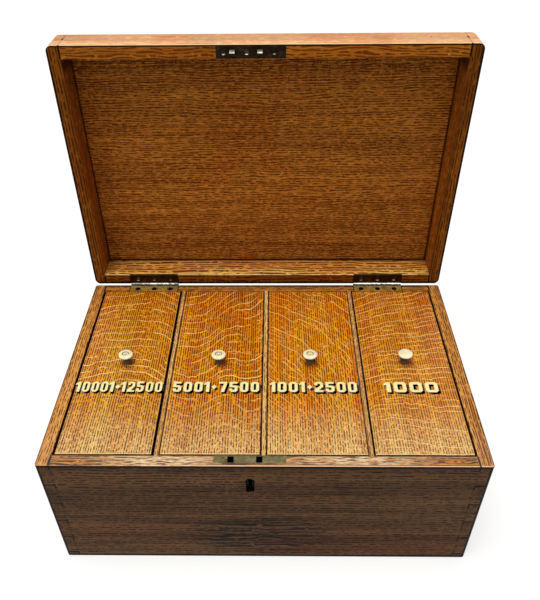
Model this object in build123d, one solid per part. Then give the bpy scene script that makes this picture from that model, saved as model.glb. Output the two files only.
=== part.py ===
from build123d import *
from math import sqrt
import os

# An oak alms box: a comb-jointed case with four compartments, a lift-out cover on each, a lid on two
# butt hinges and a link lock. Millimetres. The origin is the centre of the underside, +X to the
# right, +Y to the back, +Z up. Pieces of the lid are built shut, then swung open with it.

# Case
box_width = 380.0
box_depth = 252.6
box_height = 137.0
wall = 11.6
box_finger_height = 13.0
box_corner_round = 2.5
box_edge_round = 1.0
base_thickness = 7.0
base_rebate = 6.0

# Compartments
divider_count = 3
divider_thickness = 4.5
divider_housing = 1.0
divider_edge_round = 0.6
ledge_width = 6.0
ledge_height = 8.0
ledge_lock_gap = 1.0

# Covers, each fitted by hand: its gap on the left and on the right
cover_side_gaps = ((2.3, 2.1), (0.5, 0.8), (0.7, 0.4), (1.3, 2.0))
cover_front_gap = 1.1
cover_back_gap = 0.5
cover_thickness = 8.0
cover_edge_round = 0.6

# Turned bone knobs: radius and height at each turn of the outline
knob_spigot = (1.9, -6.0)
knob_collar = (3.6, 0.8)
knob_shoulder = (2.7, 1.6)
knob_neck = (2.1, 3.9)
knob_flare = (3.1, 6.5)
knob_under_head = (4.4, 8.0)
knob_edge_low = (6.3, 8.9)
knob_edge = (6.8, 9.7)
knob_edge_top = (6.3, 10.5)
knob_height = 11.7
knob_ring_lip = (3.6, 11.2)
knob_ring_floor = (3.2, 10.4)
knob_nipple_foot = (0.9, 10.4)
knob_nipple_height = 11.2
plain_knob_place = 4
# Where each was set by eye, measured from the middle of its cover
knob_offsets = ((1.4, 0.0), (0.7, 0.0), (-2.3, 0.4), (-0.9, 1.4))

# Lid
lid_rail_height = 29.0
lid_board_thickness = 6.0
lid_finger_count = 3
lid_gap = 0.3
lid_corner_round = 5.5
lid_edge_round = 4.8
lid_open_angle = 90.0

# Butt hinges, let in flush across the rims
hinge_length = 52.3
hinge_left_inset = 39.7
hinge_right_inset = 41.6
hinge_leaf_thickness = 1.2
hinge_setback = 1.0
knuckle_count = 5
knuckle_radius = 2.2
knuckle_clearance = 0.3
knuckle_end_gap = 0.1
pin_radius = 1.0
pin_clearance = 0.05

# Link lock, let into the inner face of the front board
lock_from_centre = -11.6
lock_length = 61.0
lock_depth = 8.7
lock_plate_height = 38.0
lock_plate_thickness = 1.2
face_plate_thickness = 1.6
lock_case_width = 45.5
lock_case_height = 35.0
lock_case_wall = 1.0
lock_cap_thickness = 1.0
lock_pocket_clearance = 0.5
key_drop = 21.0
drill_pin_radius = 1.2
keyhole_radius = 4.2
keyhole_slot_width = 7.2
keyhole_drop = 34.6
cap_keyhole_radius = 2.8
cap_keyhole_slot_width = 2.8
cap_keyhole_reach = 9.6

# Links, measured from the middle of the lock
link_places = (-16.0, 8.0)
link_middle = 5.0
link_width = 4.4
link_strip = 1.2
link_eye = 2.6
link_length = 9.0
link_tip_round = 2.2
link_hole_middle = 4.4
link_hole_width = 5.3
link_hole_depth = 6.6
link_plate_thickness = 1.2
link_screw_places = (-24.0, -3.8, 20.3)

# Bolt
bolt_thickness = 2.2
bolt_throw = 6.5
bolt_gap = 1.2
bolt_root_gap = 0.7
bolt_finger_top = 3.4
bolt_finger_height = 3.2
bolt_prong_width = 3.0
bolt_bar_top = 10.4
bolt_bar_height = 5.0
bolt_slot_clearance = 0.1
stump_radius = 1.0
stump_places = (-10.0, 9.5)
talon_radius = 3.0
spring_thickness = 0.5
spring_gap = 0.2
spring_side_gap = 0.45

# Screws: how far each lies below the face, and the depth of its countersunk head
leaf_screw = dict(head=2.2, shank=1.2, sink=1.0, length=9.0, below=0.6)
lock_screw = dict(head=2.3, shank=1.1, sink=1.1, length=7.5, below=0.0)
screw_slot_width = 0.7
screw_slot_depth = 0.5
leaf_screw_spread = 0.345
leaf_screw_setback = 1.0
screw_turns = (25, -40, 80)
lock_screw_inset = 4.0

# Places that follow from the sizes above
half_width = box_width / 2
half_depth = box_depth / 2
inner_half_width = half_width - wall
inner_half_depth = half_depth - wall
compartment_count = divider_count + 1
compartment_width = (2 * inner_half_width - divider_count * divider_thickness) / compartment_count
lid_rim = box_height + lid_gap
lid_height = lid_rail_height + lid_board_thickness
hinge_y = half_depth + hinge_setback
hinge_z = box_height + lid_gap / 2
hinge_axis = Axis((0, hinge_y, hinge_z), (1, 0, 0))
key_reach = bolt_bar_top + bolt_bar_height
bolt_finger_length = bolt_throw - bolt_gap + bolt_root_gap


def block(x_span, y_span, z_span):
    """A box between two values on each axis."""
    spans = (x_span, y_span, z_span)
    middle = [(min(span) + max(span)) / 2 for span in spans]
    size = [max(span) - min(span) for span in spans]
    return Pos(*middle) * Box(*size)


def opened(piece):
    """A piece of the shut lid, swung open about the hinge pins."""
    return piece.rotate(hinge_axis, -lid_open_angle)


def rounded_case(low, high, corner, bottom_edge, top_edge):
    """The outside of the box or of the lid, with its worn corners and edges."""
    case = block((-half_width, half_width), (-half_depth, half_depth), (low, high))
    case = fillet(case.edges().filter_by(Axis.Z), corner)
    case = fillet(case.faces().sort_by(Axis.Z)[0].edges(), bottom_edge)
    return fillet(case.faces().sort_by(Axis.Z)[-1].edges(), top_edge)


def finger_levels(start, end, height):
    """Levels of the comb joint's fingers, counted from the rim; the last takes what is left."""
    step = height if end > start else -height
    count = max(1, round((end - start) / step))
    edges = [start + place * step for place in range(count)] + [end]
    return list(zip(edges[:-1], edges[1:]))


def comb_jointed_boards(outside, low, high, levels):
    """Front, back, left and right boards. Fingers at even places belong to the side boards."""
    x_ends = ((-half_width, -inner_half_width), (inner_half_width, half_width))
    y_ends = ((-half_depth, -inner_half_depth), (inner_half_depth, half_depth))
    side_fingers = []
    end_fingers = []
    for place, level in enumerate(levels):
        fingers = [block(x_end, y_end, level) for x_end in x_ends for y_end in y_ends]
        if place % 2 == 0:
            side_fingers += fingers
        else:
            end_fingers += fingers
    ends = [block((-half_width, half_width), y_end, (low, high)) - side_fingers for y_end in y_ends]
    sides = [block(x_end, (-half_depth, half_depth), (low, high)) - end_fingers for x_end in x_ends]
    return [board & outside for board in ends + sides]


def compartment_span(place):
    """The clear width of a compartment, as its left and right edge; places count from 1."""
    left = -inner_half_width + (place - 1) * (compartment_width + divider_thickness)
    return (left, left + compartment_width)


def screw(head, shank, sink, length, below):
    """A countersunk wood screw with its point down, its slotted head a little below z = 0."""
    tip = 2 * shank
    outline = Polyline(
        (0, 0), (head, 0), (shank, -sink), (shank, tip - length), (0, -length), close=True
    )
    body = revolve(Plane.XZ * make_face(outline), Axis.Z)
    slot = block((-head, head), (-screw_slot_width / 2, screw_slot_width / 2), (-screw_slot_depth, 0))
    return Pos(0, 0, -below) * (body - slot)


def screw_seat(head, shank, sink, length, below):
    """The hole that a screw fills, with the open cone above its head."""
    tip = 2 * shank
    top = -below - sink
    point = -below - length
    outline = Polyline(
        (0, 0), (head + below, 0), (head, -below), (shank, top), (shank, point + tip), (0, point), close=True
    )
    return revolve(Plane.XZ * make_face(outline), Axis.Z)


def cap_arc(rim, height):
    """The outline of a rounded cap, from its rim to its top on the axis, as part of a sphere."""
    rise = height - rim[1]
    radius = (rim[0] ** 2 + rise**2) / (2 * rise)
    halfway = rim[0] / 2
    middle = (halfway, height - radius + sqrt(radius**2 - halfway**2))
    return ThreePointArc(rim, middle, (0, height))


def knob(ringed):
    """A turned knob on its spigot, standing on z = 0. Most have a sunk ring round a small nipple."""
    foot = (0, knob_spigot[1])
    with BuildPart() as turned:
        with BuildSketch(Plane.XZ):
            with BuildLine():
                Polyline(foot, knob_spigot, (knob_spigot[0], 0), (knob_collar[0], 0), knob_collar)
                Line(knob_collar, knob_shoulder)
                ThreePointArc(knob_shoulder, knob_neck, knob_flare)
                ThreePointArc(knob_flare, knob_under_head, knob_edge_low)
                ThreePointArc(knob_edge_low, knob_edge, knob_edge_top)
                if ringed:
                    Polyline(knob_edge_top, knob_ring_lip, knob_ring_floor, knob_nipple_foot)
                    cap_arc(knob_nipple_foot, knob_nipple_height)
                    Line((0, knob_nipple_height), foot)
                else:
                    cap_arc(knob_edge_top, knob_height)
                    Line((0, knob_height), foot)
            make_face()
        revolve(axis=Axis.Z)
    return turned.part


def lock_block(along, deep, drop):
    """A box in the lock: along X from its middle, deep from the inner face, down from the rim."""
    x_span = [lock_from_centre + value for value in along]
    y_span = [-inner_half_depth - value for value in deep]
    z_span = [box_height - value for value in drop]
    return block(x_span, y_span, z_span)


def lock_rod(along, drop, radius, deep):
    """A round bar or hole through the lock, from one depth to another."""
    length = deep[1] - deep[0]
    middle = -inner_half_depth - (deep[0] + deep[1]) / 2
    rod = Cylinder(radius, length, rotation=(90, 0, 0))
    return Pos(lock_from_centre + along, middle, box_height - drop) * rod


def keyhole(radius, slot_width, bottom, deep):
    """A keyhole: a round hole over a slot, cut from one depth to another."""
    slot = lock_block((-slot_width / 2, slot_width / 2), deep, (key_drop, bottom))
    return lock_rod(0, key_drop, radius, deep) + slot


def knuckle_spans(left, owner):
    """The stretches of the hinge's barrel that one leaf owns: even places are the box leaf's."""
    length = hinge_length / knuckle_count
    places = [place for place in range(knuckle_count) if place % 2 == owner]
    return [(left + place * length, left + (place + 1) * length) for place in places]


def barrel(x_span, radius, end_gap=0):
    """A round bar about the hinge's axis, shortened by the gap shared between its ends."""
    rod = Cylinder(radius, max(x_span) - min(x_span) - end_gap, rotation=(0, 90, 0))
    return Pos(sum(x_span) / 2, hinge_y, hinge_z) * rod


def hinge_leaf(left, owner):
    """One leaf with its knuckles; owner 0 lies in the box's rim and owner 1 in the lid's, shut."""
    right = left + hinge_length
    if owner == 0:
        levels = (box_height - hinge_leaf_thickness, box_height)
    else:
        levels = (lid_rim, lid_rim + hinge_leaf_thickness)
    other_knuckles = [
        barrel(span, knuckle_radius + pin_clearance) for span in knuckle_spans(left, 1 - owner)
    ]
    plate = block((left, right), (inner_half_depth, hinge_y), levels)
    plate = plate - other_knuckles
    leaf = plate + [barrel(span, knuckle_radius, knuckle_end_gap) for span in knuckle_spans(left, owner)]
    return leaf - barrel((left, right), pin_radius + pin_clearance)


def hinge_gain(left, owner):
    """The seat cut across a rim for a leaf and for the barrel behind it."""
    right = left + hinge_length
    if owner == 0:
        levels = (box_height - hinge_leaf_thickness, box_height)
    else:
        levels = (lid_rim, lid_rim + hinge_leaf_thickness)
    seat = block((left, right), (inner_half_depth, half_depth), levels)
    return seat + barrel((left, right), knuckle_radius + knuckle_clearance)


def leaf_screws(left, owner, shape=screw):
    """Three screws along a leaf, their heads just below its face, or the seats that they fill."""
    middle = left + hinge_length / 2
    screws = []
    for place, turn in zip((-1, 0, 1), screw_turns):
        x = middle + place * leaf_screw_spread * hinge_length
        y = (inner_half_depth + half_depth) / 2 - leaf_screw_setback
        if owner == 0:
            screws.append(Pos(x, y, box_height) * Rot(0, 0, turn) * shape(**leaf_screw))
        else:
            screws.append(Pos(x, y, lid_rim) * Rot(180, 0, turn) * shape(**leaf_screw))
    return screws


hinges = {
    "left": -half_width + hinge_left_inset,
    "right": half_width - hinge_right_inset - hinge_length,
}
nodes = {}

# Lock: a case bent from one plate, with its face plate flush in the rim
plate_half = lock_length / 2
case_half = lock_case_width / 2
cap_back = lock_depth - lock_cap_thickness
link_half_depth = link_eye / 2 + link_strip
bolt_span = (link_middle - bolt_thickness / 2, link_middle + bolt_thickness / 2)
lock_plate = lock_block((-plate_half, plate_half), (0, lock_plate_thickness), (0, lock_plate_height))
face_plate = lock_block((-plate_half, plate_half), (0, lock_depth), (0, face_plate_thickness))
case_outside = lock_block((-case_half, case_half), (0, cap_back), (0, lock_case_height))
case_inside = lock_block(
    (lock_case_wall - case_half, case_half - lock_case_wall),
    (lock_plate_thickness, cap_back),
    (face_plate_thickness, lock_case_height - lock_case_wall),
)
link_holes = [
    lock_block(
        (place - link_hole_width / 2, place + link_hole_width / 2),
        (link_hole_middle - link_hole_depth / 2, link_hole_middle + link_hole_depth / 2),
        (0, face_plate_thickness),
    )
    for place in link_places
]
bolt_bar_middle = bolt_bar_top + bolt_bar_height / 2
stumps = [
    lock_rod(place, bolt_bar_middle, stump_radius, (lock_plate_thickness, cap_back))
    for place in stump_places
]
drill_pin = lock_rod(0, key_drop, drill_pin_radius, (0, cap_back))
lock_case = (case_outside - case_inside) + lock_plate + face_plate + stumps
lock_case = lock_case - link_holes - drill_pin

lock_screws = []
for side in (-1, 1):
    for drop in (lock_screw_inset + face_plate_thickness, lock_plate_height - lock_screw_inset):
        x = lock_from_centre + side * (plate_half - lock_screw_inset)
        place = Pos(x, -inner_half_depth, box_height - drop)
        lock_screws.append(place * Rot(-90, 0, 0) * screw(**lock_screw))
nodes["lock_case"] = lock_case - lock_screws
nodes["lock_screws"] = Compound(children=lock_screws)
nodes["lock_drill_pin"] = drill_pin
cap = lock_block((-case_half, case_half), (cap_back, lock_depth), (face_plate_thickness, lock_case_height))
cap_keyhole = keyhole(
    cap_keyhole_radius, cap_keyhole_slot_width, key_drop + cap_keyhole_reach, (cap_back, lock_depth)
)
nodes["lock_cap_plate"] = cap - cap_keyhole

# Bolt: a bar with two prongs, whose fingers enter the links when it is thrown to the left
bar_right = link_places[1] + link_width / 2 + bolt_gap + bolt_finger_length + bolt_prong_width
bar_left = link_places[0] + link_width / 2 + bolt_gap
bolt_pieces = [lock_block((bar_left, bar_right), bolt_span, (bolt_bar_top, bolt_bar_top + bolt_bar_height))]
for place in link_places:
    tip = place + link_width / 2 + bolt_gap
    root = tip + bolt_finger_length
    finger_bottom = bolt_finger_top + bolt_finger_height
    bolt_pieces.append(lock_block((tip, root), bolt_span, (bolt_finger_top, finger_bottom)))
    bolt_pieces.append(
        lock_block((root, root + bolt_prong_width), bolt_span, (bolt_finger_top, bolt_bar_top))
    )
bolt = bolt_pieces[0] + bolt_pieces[1:]
slot_radius = stump_radius + bolt_slot_clearance
for place in stump_places:
    bolt = bolt - [
        lock_rod(place, bolt_bar_middle, slot_radius, bolt_span),
        lock_rod(place + bolt_throw, bolt_bar_middle, slot_radius, bolt_span),
        lock_block(
            (place, place + bolt_throw),
            bolt_span,
            (bolt_bar_middle - slot_radius, bolt_bar_middle + slot_radius),
        ),
    ]
nodes["lock_bolt"] = bolt - lock_rod(bolt_throw / 2, key_reach, talon_radius, bolt_span)

# Bolt spring: a strip bent to a U, under the face plate and between the prongs where the bolt slides
spring_left = bar_left + bolt_finger_length + bolt_prong_width + spring_side_gap
spring_right = link_places[1] + link_width / 2 + bolt_gap - bolt_throw - spring_side_gap
spring_middle = (spring_left + spring_right) / 2
spring_radius = (spring_right - spring_left) / 2
spring_bend = bolt_bar_top - spring_gap - spring_radius
spring_ring = lock_rod(spring_middle, spring_bend, spring_radius, bolt_span)
spring_bore = spring_radius - spring_thickness
spring_ring = spring_ring - lock_rod(spring_middle, spring_bend, spring_bore, bolt_span)
spring_ring = spring_ring - lock_block(
    (spring_middle - spring_radius, spring_middle + spring_radius), bolt_span, (0, spring_bend)
)
spring_legs = [
    lock_block(
        (spring_middle + side * (spring_radius - spring_thickness), spring_middle + side * spring_radius),
        bolt_span,
        (face_plate_thickness, spring_bend),
    )
    for side in (-1, 1)
]
nodes["lock_spring"] = spring_ring + spring_legs

# Case boards, with their seats for the base, the dividers, the hinges and the lock
outside = rounded_case(0, box_height, box_corner_round, box_edge_round, box_edge_round / 2)
levels = finger_levels(box_height, 0, box_finger_height)
front, back, left_side, right_side = comb_jointed_boards(outside, 0, box_height, levels)
base_half_width = inner_half_width + base_rebate
base_half_depth = inner_half_depth + base_rebate
base = block(
    (-base_half_width, base_half_width), (-base_half_depth, base_half_depth), (0, base_thickness)
)
dividers = []
for place in range(1, divider_count + 1):
    edge = compartment_span(place)[1]
    divider = block(
        (edge, edge + divider_thickness),
        (-inner_half_depth - divider_housing, inner_half_depth + divider_housing),
        (base_thickness, box_height),
    )
    dividers.append(divider)
lock_pocket = lock_block(
    (-case_half - lock_pocket_clearance, case_half + lock_pocket_clearance),
    (0, lock_depth + lock_pocket_clearance),
    (0, lock_case_height + lock_pocket_clearance),
)
wood_keyhole = keyhole(keyhole_radius, keyhole_slot_width, keyhole_drop, (0, wall))
box_leaf_screws = [item for left in hinges.values() for item in leaf_screws(left, 0)]
box_screw_seats = [item for left in hinges.values() for item in leaf_screws(left, 0, screw_seat)]
front = front - base - dividers - lock_pocket - lock_plate - face_plate - wood_keyhole - lock_screws
back = back - base - dividers - [hinge_gain(left, 0) for left in hinges.values()] - box_screw_seats
nodes["front_board"] = front
nodes["back_board"] = back
nodes["left_board"] = left_side - base
nodes["right_board"] = right_side - base
nodes["base_board"] = base

for name, divider in zip(("divider_left", "divider_middle", "divider_right"), dividers):
    top_edges = divider.faces().sort_by(Axis.Z)[-1].edges().filter_by(Axis.Y)
    nodes[name] = fillet(top_edges, divider_edge_round) - [lock_plate, face_plate]

# Ledges that carry the covers, one strip at each end of a compartment, clear of the lock
ledge_top = box_height - cover_thickness
lock_space = lock_block(
    (-plate_half - ledge_lock_gap, plate_half + ledge_lock_gap), (-ledge_width, 0), (0, lock_plate_height)
)
for side, name in ((-1, "front_ledges"), (1, "back_ledges")):
    strips = []
    for place in range(1, compartment_count + 1):
        y_span = (side * inner_half_depth, side * (inner_half_depth - ledge_width))
        strip = block(compartment_span(place), y_span, (ledge_top - ledge_height, ledge_top))
        strips += (strip - lock_space).solids() if side < 0 else strip.solids()
    nodes[name] = Compound(children=strips)

# Covers and their knobs
for place, (left_gap, right_gap) in enumerate(cover_side_gaps, start=1):
    left, right = compartment_span(place)
    cover_left = left + left_gap
    cover_right = right - right_gap
    cover_ends = (-inner_half_depth + cover_front_gap, inner_half_depth - cover_back_gap)
    cover = block((cover_left, cover_right), cover_ends, (ledge_top, box_height))
    cover = fillet(cover.faces().sort_by(Axis.Z)[-1].edges(), cover_edge_round)
    aside, back_from_middle = knob_offsets[place - 1]
    knob_spot = Pos((cover_left + cover_right) / 2 + aside, back_from_middle, box_height)
    standing = knob_spot * knob(place != plain_knob_place)
    nodes[f"compartment_cover_{place}"] = cover - standing
    nodes[f"knob_{place}"] = standing

# Lid: a comb-jointed frame with its board on top
lid_outside = rounded_case(
    lid_rim, lid_rim + lid_height, lid_corner_round, box_edge_round / 2, lid_edge_round
)
levels = finger_levels(lid_rim, lid_rim + lid_rail_height, lid_rail_height / lid_finger_count)
rails = comb_jointed_boards(lid_outside, lid_rim, lid_rim + lid_rail_height, levels)
lid_board = block(
    (-half_width, half_width),
    (-half_depth, half_depth),
    (lid_rim + lid_rail_height, lid_rim + lid_height),
)
link_plate = block(
    (lock_from_centre - plate_half, lock_from_centre + plate_half),
    (-half_depth + box_edge_round / 2, -inner_half_depth),
    (lid_rim, lid_rim + link_plate_thickness),
)
link_screws = []
link_screw_seats = []
for place, turn in zip(link_screw_places, screw_turns):
    spot = Pos(lock_from_centre + place, -half_depth + wall / 2, lid_rim) * Rot(180, 0, -turn)
    link_screws.append(spot * screw(**leaf_screw))
    link_screw_seats.append(spot * screw_seat(**leaf_screw))
lid_leaf_screws = [item for left in hinges.values() for item in leaf_screws(left, 1)]
lid_screw_seats = [item for left in hinges.values() for item in leaf_screws(left, 1, screw_seat)]
front_rail, back_rail, left_rail, right_rail = rails
nodes["lid_front_rail"] = opened(front_rail - link_plate - link_screw_seats)
back_rail = back_rail - [hinge_gain(left, 1) for left in hinges.values()] - lid_screw_seats
nodes["lid_back_rail"] = opened(back_rail)
nodes["lid_left_rail"] = opened(left_rail)
nodes["lid_right_rail"] = opened(right_rail)
nodes["lid_top_board"] = opened(lid_board & lid_outside)

# Link plate: two links bent to a U and riveted through it, with their eyes along the bolt
links = []
for place in link_places:
    along = (place - link_width / 2, place + link_width / 2)
    deep = (link_middle - link_half_depth, link_middle + link_half_depth)
    strap = lock_block(along, deep, (link_length - lid_gap, -lid_gap))
    bend = link_length - lid_gap - link_strip
    eye = lock_block(
        along, (link_middle - link_eye / 2, link_middle + link_eye / 2), (bend, -lid_gap)
    )
    tip_edges = strap.faces().sort_by(Axis.Z)[0].edges().filter_by(Axis.X)
    links.append(fillet(tip_edges, link_tip_round) - eye)
nodes["link_plate"] = opened(link_plate - link_screw_seats + links)
nodes["link_plate_screws"] = opened(Compound(children=link_screws))

# Hinges
for name, left in hinges.items():
    nodes[f"hinge_{name}_box_leaf"] = hinge_leaf(left, 0) - leaf_screws(left, 0, screw_seat)
    nodes[f"hinge_{name}_lid_leaf"] = opened(hinge_leaf(left, 1) - leaf_screws(left, 1, screw_seat))
    nodes[f"hinge_{name}_pin"] = barrel((left, left + hinge_length), pin_radius)
nodes["hinge_box_screws"] = Compound(children=box_leaf_screws)
nodes["hinge_lid_screws"] = opened(Compound(children=lid_leaf_screws))

os.makedirs("parts", exist_ok=True)
for name, shape in nodes.items():
    export_step(shape, f"parts/{name}.step")
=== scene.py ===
from math import pi, radians

import bpy
from mathutils import Matrix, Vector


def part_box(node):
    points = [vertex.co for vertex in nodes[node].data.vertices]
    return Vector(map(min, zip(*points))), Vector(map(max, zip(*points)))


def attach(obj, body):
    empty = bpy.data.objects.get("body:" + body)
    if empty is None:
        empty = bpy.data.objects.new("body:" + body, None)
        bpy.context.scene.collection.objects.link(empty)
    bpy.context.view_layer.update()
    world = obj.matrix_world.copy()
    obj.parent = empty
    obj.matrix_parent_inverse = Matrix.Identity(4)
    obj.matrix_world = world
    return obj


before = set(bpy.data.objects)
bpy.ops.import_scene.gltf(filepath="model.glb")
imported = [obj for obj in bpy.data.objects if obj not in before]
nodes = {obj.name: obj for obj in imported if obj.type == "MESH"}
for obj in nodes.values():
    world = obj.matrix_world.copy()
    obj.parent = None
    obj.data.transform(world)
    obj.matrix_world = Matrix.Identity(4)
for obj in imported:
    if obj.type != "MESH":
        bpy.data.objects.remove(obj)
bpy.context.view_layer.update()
scene = bpy.context.scene
scene.view_settings.view_transform = "Standard"

# Camera: it stands 0.47 m in front of the box's middle and 0.57 m up, and looks down at the covers at
# about 41 degrees, turned a degree to the left and tipped by less than one.
camera_data = bpy.data.cameras.new("camera")
camera_data.sensor_width = 36.0
camera_data.lens = 39.554
camera_data.shift_x = 0.00784
camera_data.shift_y = 0.07490
camera_data.clip_start = 0.01
camera = bpy.data.objects.new("camera", camera_data)
scene.collection.objects.link(camera)
look_down, turn_left, tip = 0.72002, 0.01925, 0.01202
camera.matrix_world = (
    Matrix.Translation((0.009296, -0.468128, 0.569946))
    @ Matrix.Rotation(turn_left, 4, "Z")
    @ Matrix.Rotation(pi / 2 - look_down, 4, "X")
    @ Matrix.Rotation(-tip, 4, "Z")
)
scene.camera = camera


# Studio: a wide overhead softbox, a little behind the box, and a pale sweep all round it. The sweep
# shows white to the camera and in the metal, and gives the box a plain grey fill.
def add(tree, kind, sockets=None, **settings):
    """One node, with its settings, and its sockets set or joined."""
    made = tree.nodes.new("ShaderNode" + kind)
    for name, value in settings.items():
        setattr(made, name, value)
    for name, value in (sockets or {}).items():
        if isinstance(value, bpy.types.NodeSocket):
            tree.links.new(value, made.inputs[name])
        else:
            made.inputs[name].default_value = value
    return made


def calc(tree, operation, *values):
    """One sum on numbers that vary over the surface."""
    return add(tree, "Math", dict(enumerate(values)), operation=operation).outputs[0]


def seen_directly(tree):
    """1 for what the camera sees straight, in gloss or through glass, and 0 for light on the box."""
    path = add(tree, "LightPath").outputs
    straight = calc(tree, "MAXIMUM", path["Is Camera Ray"], path["Is Glossy Ray"])
    return calc(tree, "MAXIMUM", straight, path["Is Transmission Ray"])


world = bpy.data.worlds.new("sweep")
world.use_nodes = True
scene.world = world
tree = world.node_tree
tree.nodes.clear()
fill = add(tree, "Background", {"Color": (1.0, 0.985, 0.96, 1), "Strength": 0.30})
white = add(tree, "Background", {"Color": (1, 1, 1, 1), "Strength": 1.0})
both = add(tree, "MixShader", {0: seen_directly(tree), 1: fill.outputs[0], 2: white.outputs[0]})
add(tree, "OutputWorld", {"Surface": both.outputs[0]})

softbox_data = bpy.data.lights.new("softbox", "SUN")
softbox_data.energy = 2.35
softbox_data.angle = radians(40)
softbox_data.color = (1.0, 0.985, 0.955)
softbox = bpy.data.objects.new("softbox", softbox_data)
softbox.matrix_world = Matrix.Rotation(radians(9), 4, "X") @ Matrix.Rotation(radians(-7), 4, "Y")
scene.collection.objects.link(softbox)

bpy.ops.object.select_all(action="DESELECT")
bpy.ops.mesh.primitive_circle_add(vertices=96, radius=3.0, fill_type="NGON", location=(0, 0, -0.0003))
floor = bpy.context.object
floor.name = "floor"
paper = bpy.data.materials.new("floor_paper")
paper.use_nodes = True
tree = paper.node_tree
tree.nodes.clear()
lit = add(tree, "BsdfDiffuse", {"Color": (0.50, 0.50, 0.495, 1)})
level = calc(tree, "MULTIPLY", seen_directly(tree), 0.56)
glow = add(tree, "Emission", {"Color": (1, 1, 1, 1), "Strength": level})
both = add(tree, "AddShader", {0: lit.outputs[0], 1: glow.outputs[0]})
add(tree, "OutputMaterial", {"Surface": both.outputs[0]})
floor.data.materials.append(paper)


# Case boards: four oak boards about 12 mm thick, comb-jointed and glued at the corners, stained and
# waxed. The outside has gone dark brown, and the rims are rubbed golden by use.
def colour(red, green, blue):
    """A colour as a screen shows it, 0 to 255, made linear."""
    return tuple(((v / 255 + 0.055) / 1.055) ** 2.4 for v in (red, green, blue)) + (1.0,)


def fade(tree, value, start, end, low=0.0, high=1.0):
    """A smooth step from low to high as the value goes from start to end."""
    sockets = {"Value": value, "From Min": start, "From Max": end, "To Min": low, "To Max": high}
    return add(tree, "MapRange", sockets, interpolation_type="SMOOTHSTEP").outputs[0]


def tint(tree, share, first, second, mode="MIX"):
    """Two colours mixed by a share from 0 to 1."""
    return add(tree, "Mix", {0: share, 6: first, 7: second}, data_type="RGBA", blend_type=mode).outputs[2]


def noise(tree, vector, turns, detail=2.0, roughness=0.5):
    """Cloudy noise from 0 to 1, with so many turns a metre along each axis."""
    spread = add(tree, "VectorMath", {0: vector, 1: turns}, operation="MULTIPLY")
    sockets = {"Vector": spread.outputs[0], "Scale": 1.0, "Detail": detail, "Roughness": roughness}
    return add(tree, "TexNoise", sockets).outputs[0]


def split(tree, vector):
    """The three parts of a vector."""
    return add(tree, "SeparateXYZ", {0: vector}).outputs


def times(tree, *values):
    """Numbers multiplied together."""
    product = values[0]
    for value in values[1:]:
        product = calc(tree, "MULTIPLY", product, value)
    return product


def apart_by(tree, first, second):
    """How far apart two numbers are."""
    return calc(tree, "ABSOLUTE", calc(tree, "SUBTRACT", first, second))


def distance_from(tree, at, middle, stretch=(1, 1, 0)):
    """How far a place is from a middle, with each axis stretched or left out."""
    place = add(tree, "Mapping", {"Vector": at, "Location": tuple(-part for part in middle)}).outputs[0]
    place = add(tree, "VectorMath", {0: place, 1: stretch}, operation="MULTIPLY").outputs[0]
    return add(tree, "VectorMath", {0: place}, operation="LENGTH").outputs["Value"]


def effect(name, inputs, outputs):
    """An empty shader node group with its named sockets."""
    group = bpy.data.node_groups.new(name, "ShaderNodeTree")
    for socket, kind in inputs:
        group.interface.new_socket(name=socket, in_out="INPUT", socket_type="NodeSocket" + kind)
    for socket, kind in outputs:
        group.interface.new_socket(name=socket, in_out="OUTPUT", socket_type="NodeSocket" + kind)
    return group, group.nodes.new("NodeGroupInput").outputs, group.nodes.new("NodeGroupOutput").inputs


def use(tree, group, **sockets):
    """A group placed in a material, with that material's own values."""
    made = tree.nodes.new("ShaderNodeGroup")
    made.node_tree = group
    for name, value in sockets.items():
        name = name.replace("_", " ")
        if isinstance(value, bpy.types.NodeSocket):
            tree.links.new(value, made.inputs[name])
        else:
            made.inputs[name].default_value = value
    return made.outputs


# Oak grain, along Y. The pores are short dark dashes, one behind the other in columns, with finer ones
# between them. They crowd together in the growth bands, which go round a heart.
oak_grain, given, out = effect(
    "oak_grain",
    [("Vector", "Vector"), ("Shift", "Vector"), ("Heart", "Vector"), ("Pitch", "Float"), ("Wander", "Float"),
     ("Dash", "Float"), ("Width", "Float"), ("Gaps", "Float")],
    [("Tone", "Float"), ("Pores", "Float"), ("Relief", "Float")],
)
at = add(oak_grain, "VectorMath", {0: given["Vector"], 1: given["Shift"]}, operation="ADD").outputs[0]
axes = split(oak_grain, at)
drift = calc(oak_grain, "SUBTRACT", noise(oak_grain, at, (9, 2.5, 9), 1.0), 0.5)
ripple = calc(oak_grain, "SUBTRACT", noise(oak_grain, at, (90, 26, 90), 1.0), 0.5)
apart = add(oak_grain, "VectorMath", {0: given["Vector"], 1: given["Heart"]}, operation="SUBTRACT")
across = add(oak_grain, "VectorMath", {0: apart.outputs[0], 1: (1, 0, 1)}, operation="MULTIPLY")
radius = add(oak_grain, "VectorMath", {0: across.outputs[0]}, operation="LENGTH").outputs["Value"]
radius = calc(oak_grain, "MULTIPLY_ADD", drift, 0.05, radius)
bands = add(oak_grain, "TexNoise", {"W": radius, "Scale": 110.0, "Detail": 1.0}, noise_dimensions="1D")
bands = fade(oak_grain, bands.outputs[0], 0.35, 0.65)
column = calc(oak_grain, "ADD", axes[0], axes[2])
column = calc(oak_grain, "MULTIPLY_ADD", drift, given["Wander"], column)
column = calc(oak_grain, "MULTIPLY_ADD", ripple, times(oak_grain, given["Wander"], 0.4), column)
pores = None
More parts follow.
